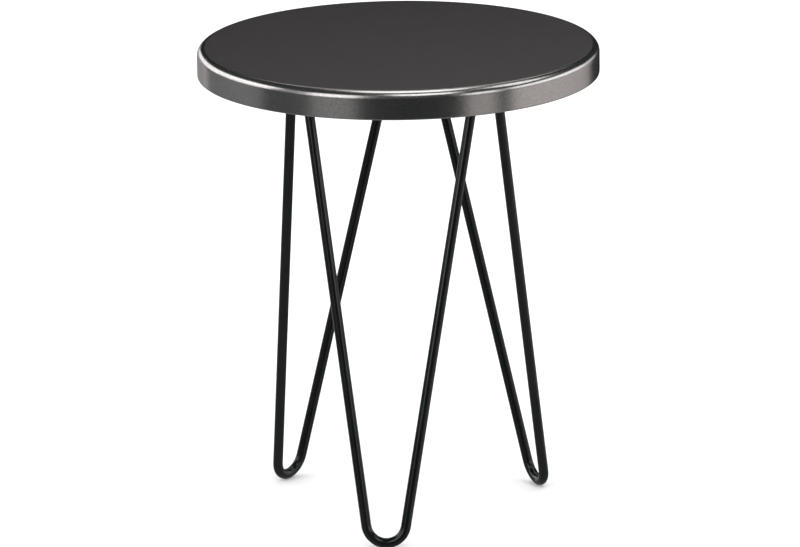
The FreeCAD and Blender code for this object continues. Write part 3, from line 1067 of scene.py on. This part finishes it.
class FibreboardFinish(Finish):
    """Raw fibreboard: tan, with pale and dark fibres pressed flat."""

    name: str = "raw_fibreboard"
    tones: Tones = ((0.26, 0.175, 0.105), (0.40, 0.285, 0.18))
    patch: float = 0.006
    speck: float = 0.0007
    specks: Span = (0.82, 1.15)
    stroke: float = 0.0012
    fibres: Span = (0.92, 1.18)
    roughness: Span = (0.88, 0.76)
    relief: Relief = ((0.0007, 0.00008),)

    def paint(self) -> Wire:
        """Colour the surface in soft patches, specks and fibres.

        Returns:
            The socket with the fibres' mask.
        """
        fibres = self.wipe()
        strands = self.spread(fibres, self.fibres)
        both = self.maths("MULTIPLY", self.speckle(self.speck, self.specks), strands)
        self.feed(self.tint(self.clouds(self.tones).outputs["Colour"], both), "Base Color")
        return fibres


class BackingFinish(Finish):
    """Matt dark melamine sheet with the fine tooth of its press plate."""

    name: str = "dark_melamine"
    tones: Tones = ((0.029, 0.029, 0.031), (0.034, 0.034, 0.036))
    patch: float = 0.030
    stroke: float = 0.012
    roughness: Span = (0.62, 0.57)
    relief: Relief = ((0.0006, 0.00004),)


class BrassFinish(Finish):
    """Turned brass with fine tool rings."""

    name: str = "turned_brass"
    values: Inputs = {"Metallic": 1.0}
    tones: Tones = ((0.60, 0.44, 0.19), (0.76, 0.60, 0.30))
    patch: float = 0.005
    roughness: Span = (0.30, 0.22)
    ring_scale: float = 600.0
    ring_depth: float = 0.00001

    def lay_out(self) -> None:
        """Lay out the finish, with its tool rings in relief."""
        super().lay_out()
        ends = {"Vector": self.place, "Scale": self.ring_scale}
        rings = self.add("ShaderNodeTexWave", ends, bands_direction="Z")
        self.bump(rings.outputs["Fac"], self.ring_depth)


class FloorFinish(Finish):
    """Plain pale studio floor, see-through from below."""

    name: str = "pale_floor"
    values: Inputs = {"Roughness": 0.9, "Specular IOR Level": 0.1}
    tones: Tones = ((0.86, 0.86, 0.86), (0.88, 0.88, 0.88))
    patch: float = 0.4

    def lay_out(self) -> None:
        """Lay out the colour, and clear the floor away from below."""
        self.paint()
        clear = self.add("ShaderNodeBsdfTransparent").outputs[0]
        below = self.add("ShaderNodeNewGeometry").outputs["Backfacing"]
        cover = self.mix_shaders(below, self.shader.outputs[0], clear)
        self.join(cover, self.tree.nodes["Material Output"].inputs["Surface"])


@dataclass(frozen=True)
class SoftBox:
    """A soft rectangular light, placed from the middle of the rim as the camera sees it.

    Places and directions are to the right, away from the camera and up, in metres. A grid in
    front of a box keeps its light within so many degrees, brightest along its axis.
    """

    name: str
    centre: Triple
    faces: Triple
    width: float
    height: float
    brightness: float
    tone: Colour = (1.0, 1.0, 1.0)
    grid: float = OPEN_GRID

    @classmethod
    def towards_table(
        cls,
        name: str,
        azimuth: float,
        elevation: float,
        spans: Span,
        brightness: float,
        tone: Colour = (1.0, 1.0, 1.0),
        turned: float = 0.0,
        grid: float = OPEN_GRID,
    ) -> "SoftBox":
        """Make a box that faces the table.

        Args:
            name: The light's name.
            azimuth: Degrees to the right of the camera, as seen from the table.
            elevation: Degrees above the rim.
            spans: Degrees that the box covers across and up.
            brightness: How bright its face is.
            tone: The light's colour.
            turned: Degrees that it faces past the table, to the camera's right.
            grid: Degrees within which its grid keeps the light.

        Returns:
            The soft box.
        """
        turn, rise = math.radians(azimuth), math.radians(elevation)
        out = Vector((
            math.sin(turn) * math.cos(rise), -math.cos(turn) * math.cos(rise), math.sin(rise)
        ))
        width, height = (2 * BOX_DISTANCE * math.tan(math.radians(span) / 2) for span in spans)
        swing = math.radians(turned)
        faces = tuple(Vector((-math.sin(swing), 0.0, 0.0)) - out * math.cos(swing))
        centre = tuple(out * BOX_DISTANCE)
        return cls(name, centre, faces, width, height, brightness, tone, grid)

    def place(self, rim: Matrix) -> None:
        """Hang the light.

        Args:
            rim: The camera-facing frame at the middle of the rim.
        """
        lamp = bpy.data.lights.new(self.name, "AREA")
        lamp.shape = "RECTANGLE"
        lamp.size, lamp.size_y = self.width, self.height
        lamp.energy = self.brightness * math.pi * self.width * self.height
        lamp.color = self.tone
        if self.grid < OPEN_GRID:
            half = math.radians(self.grid / 2)
            lamp.spread = 2 * half
            lamp.energy *= 1.0 - half / math.tan(half)
        back = -Vector(self.faces).normalized()
        hint = Vector((0.0, 1.0, 0.0)) if abs(back.z) > STEEP else Vector((0.0, 0.0, 1.0))
        across = hint.cross(back).normalized()
        hung = Matrix((across, back.cross(across), back)).transposed().to_4x4()
        hung.translation = self.centre
        light = bpy.data.objects.new(self.name, lamp)
        light.matrix_world = rim @ hung
        light.visible_camera = False
        bpy.context.scene.collection.objects.link(light)


@dataclass(frozen=True)
class Studio:
    """The plain pale floor, the soft boxes and the even light round the table."""

    camera_azimuth: float = 7.1
    floor_radius: float = 12.0
    floor_steps: int = 96
    floor_rings: tuple[float, ...] = (0.25, 0.20, 0.15)
    rim_height: float = 0.46
    seen_backdrop: Colour = (0.98, 0.98, 0.98)
    fill: float = 1.45
    room: Colour = (0.0255, 0.0300, 0.0288)

    def boxes(self) -> tuple[SoftBox, ...]:
        """Set out the soft boxes, and the dimmer glows that the band mirrors from under them.

        Returns:
            The lights.
        """
        left, right = (1.0, 0.0, 0.0), (-1.0, 0.0, 0.0)
        up, down = (0.0, 0.0, 1.0), (0.0, 0.0, -1.0)
        warm, cool = (1.03, 0.98, 0.965), (0.965, 0.985, 1.035)
        facing = SoftBox.towards_table
        return (
            SoftBox("left_wall_end", (-4.0, 10.4, 1.45), left, 7.0, 2.4, 2.10),
            SoftBox("left_wall_far", (-4.0, 4.65, 1.45), left, 4.5, 2.4, 1.65),
            SoftBox("left_wall_near", (-4.0, 0.68, 2.00), left, 3.45, 1.5, 1.68),
            SoftBox("left_wall_low", (-4.0, 0.68, 0.75), left, 3.45, 1.0, 1.32),
            facing("left_strip_box", -37.0, 19.0, (28.0, 36.0), 1.50),
            facing("left_gap_glow", -61.0, 18.0, (20.0, 30.0), 0.24, (1.03, 0.97, 1.04)),
            facing("right_strip_box", 47.0, 11.5, (19.0, 23.0), 1.34),
            SoftBox("right_wall_near", (4.0, 0.8, 0.96), right, 5.2, 1.53, 1.34),
            SoftBox("right_wall_far", (4.0, 4.9, 0.85), right, 3.0, 1.3, 0.84),
            facing("right_high_box", 98.0, 50.0, (26.0, 22.0), 1.40),
            facing("front_high_box", 17.5, 50.5, (28.0, 23.0), 1.72),
            SoftBox("ceiling_box", (0.14, 0.64, 3.0), down, 1.40, 1.84, 1.80),
            facing("back_high_box", 177.0, 42.5, (31.0, 15.0), 0.90),
            facing("far_wall_glow", 179.5, 18.5, (15.0, 8.0), 1.72, (1.03, 0.98, 0.985), 9.5, 48.4),
            facing("near_wall_glow", 0.0, 15.5, (36.0, 12.0), 0.08, warm),
            SoftBox("floor_glow", (0.0, 0.0, -2.2), up, 7.0, 7.0, 0.17),
            SoftBox("right_low_glow", (4.0, 1.45, -1.15), right, 6.5, 2.1, 0.48, warm),
            facing("right_low_strip", 47.0, -18.0, (18.0, 28.0), 0.35, warm),
            facing("left_low_strip", -37.0, -17.0, (26.0, 28.0), 0.195),
            facing("left_low_fill", -66.0, -15.0, (24.0, 24.0), 0.04, cool),
            SoftBox("left_low_glow", (-4.0, 2.6, -1.25), left, 6.4, 2.3, 0.175, cool),
            facing("back_low_glow", -157.0, -14.0, (36.0, 28.0), 0.52, warm),
        )

    def build(self, effects: SharedEffects) -> None:
        """Lay the floor, hang the lights and set the room's light.

        Args:
            effects: The shared node groups.
        """
        self.lay_floor(effects)
        turn = Matrix.Rotation(math.radians(self.camera_azimuth), 4, "Z")
        rim = Matrix.Translation((0.0, 0.0, self.rim_height)) @ turn
        for box in self.boxes():
            box.place(rim)
            LOG.info("light %s", box.name)
        self.light_room()
        bpy.context.scene.view_settings.view_transform = "Standard"

    def lay_floor(self, effects: SharedEffects) -> None:
        """Add the round pale floor, which the metal doesn't mirror.

        Args:
            effects: The shared node groups.
        """
        start_clean()
        bpy.ops.mesh.primitive_circle_add(
            vertices=self.floor_steps, radius=self.floor_radius, fill_type="NGON"
        )
        floor = bpy.context.active_object
        floor.name = floor.data.name = "studio_floor"
        bpy.ops.object.mode_set(mode="EDIT")
        bpy.ops.mesh.select_all(action="SELECT")
        for share in self.floor_rings:
            bpy.ops.mesh.inset(thickness=self.floor_radius * share)
        bpy.ops.object.mode_set(mode="OBJECT")
        floor.data.materials.append(FloorFinish(effects).material)
        floor.visible_glossy = False
        floor.visible_shadow = False

    def light_room(self) -> None:
        """Show a pale backdrop, fill the shadows evenly and let the metal mirror a dim room."""
        world = bpy.data.worlds.new("soft_room")
        world.use_nodes = True
        bpy.context.scene.world = world
        bench = NodeBench(world.node_tree)
        backdrop = world.node_tree.nodes["Background"]
        backdrop.inputs["Color"].default_value = rgba(self.seen_backdrop)
        room = bench.add("ShaderNodeBackground", {"Color": rgba(self.room)})
        fill = bench.add("ShaderNodeBackground", {"Strength": self.fill})
        rays = bench.add("ShaderNodeLightPath").outputs
        light = room.outputs[0]
        for ray, other in (("Is Diffuse Ray", fill), ("Is Camera Ray", backdrop)):
            light = bench.mix_shaders(rays[ray], light, other.outputs[0])
        bench.join(light, world.node_tree.nodes["World Output"].inputs["Surface"])


@dataclass(frozen=True)
class PhotoCamera:
    """The camera at the photograph's viewing angle, with its angles in degrees.

    The photograph's picture plane isn't square to its line of sight, which a plain camera
    can't follow, so the turn, dip and roll share out the small difference that is left.
    """

    place: Triple = (0.7459, -5.9953, 1.9029)
    turn: float = 7.102
    dip: float = 15.382
    roll: float = 0.740
    lens: float = 281.26
    sensor: float = 36.0
    reach: Span = (0.1, 60.0)

    def build(self) -> None:
        """Make the camera and give it to the scene."""
        aim = (
            Matrix.Rotation(math.radians(self.turn), 3, "Z")
            @ Matrix.Rotation(math.radians(90.0 - self.dip), 3, "X")
            @ Matrix.Rotation(math.radians(-self.roll), 3, "Z")
        )
        data = bpy.data.cameras.new("photo_camera")
        data.lens = self.lens
        data.sensor_width = self.sensor
        data.clip_start, data.clip_end = self.reach
        camera = bpy.data.objects.new("photo_camera", data)
        camera.location = self.place
        camera.rotation_euler = aim.to_euler()
        bpy.context.scene.collection.objects.link(camera)
        bpy.context.scene.camera = camera


class Nightstand:
    """The whole table: each piece, its finish and what it stands for."""

    def __init__(self, sizes: TableSizes, effects: SharedEffects) -> None:
        """Make the finishes.

        Args:
            sizes: The table's shared places.
            effects: The shared node groups.
        """
        self.sizes = sizes
        kinds = {
            Slot.GUNMETAL: GunmetalFinish,
            Slot.POWDER_COAT: PowderCoatFinish,
            Slot.ZINC: BlackZincFinish,
            Slot.FIBREBOARD: FibreboardFinish,
            Slot.BACKING: BackingFinish,
            Slot.BRASS: BrassFinish,
        }
        self.finishes = {slot: kind(effects).material for slot, kind in kinds.items()}

    def build(self) -> None:
        """Build, dress and report every piece."""
        self.dress(TopPan(self.sizes).build(), "top_pan", Slot.GUNMETAL)
        self.build_legs()
        self.finish_carried("core_board", Slot.FIBREBOARD)
        self.finish_carried("backing_sheet", Slot.BACKING)
        for leg in Leg:
            self.finish_carried(f"{leg.label}_leg_inserts", Slot.BRASS)

    def build_legs(self) -> None:
        """Make the front leg's pieces once and copy them to the other legs."""
        for maker, ending, node, slot in (
            (HairpinBar, "bar", "rod", Slot.POWDER_COAT),
            (StripPlate, "strip", "plate", Slot.POWDER_COAT),
            (WeldBeads, "beads", "welds", Slot.POWDER_COAT),
            (SocketScrews, "screws_black", "screws", Slot.ZINC),
            (FlatWashers, "washers_black", "washers", Slot.ZINC),
        ):
            front = maker(self.sizes).build()
            others = (self.copy_to_leg(front, leg, ending) for leg in (Leg.RIGHT, Leg.LEFT))
            for leg, piece in zip(Leg, (front, *others)):
                self.dress(piece, f"{leg.label}_leg_{node}", slot)

    @staticmethod
    def copy_to_leg(piece: Piece, leg: Leg, ending: str) -> Piece:
        """Copy a piece of the front leg to another leg, with a mesh of its own.

        Args:
            piece: The front leg's piece.
            leg: The leg that gets the copy.
            ending: What the copy's name ends with.

        Returns:
            The copy, turned in its mesh.
        """
        copy = piece.copy()
        copy.data = piece.data.copy()
        copy.name = copy.data.name = f"{leg.label}_leg_{ending}"
        copy.data.transform(leg.turn)
        bpy.context.scene.collection.objects.link(copy)
        return copy

    def dress(self, piece: Piece, node: str, slot: Slot) -> None:
        """Give a piece its finish and let it stand for a CAD node.

        Args:
            piece: The finished piece.
            node: The CAD node that it replaces.
            slot: Its material slot.
        """
        piece.data.materials.clear()
        piece.data.materials.append(self.finishes[slot])
        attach(piece, BODY)
        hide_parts(node)
        LOG.info("piece %s for %s, %d faces", piece.name, node, len(piece.data.polygons))

    def finish_carried(self, node: str, slot: Slot) -> None:
        """Give a CAD node that stays its finish.

        Args:
            node: The CAD node.
            slot: Its material slot.
        """
        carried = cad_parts[node]
        for holder in carried.material_slots:
            holder.material = self.finishes[slot]
        LOG.info("carried over %s in %s", node, slot.value)


def main() -> None:
    """Build the table, the studio and the camera."""
    logging.basicConfig(level=logging.INFO, format="%(message)s")
    PhotoCamera().build()
    effects = SharedEffects.make()
    Nightstand(TableSizes.from_frame(), effects).build()
    Studio().build(effects)


if __name__ == "__main__":
    main()
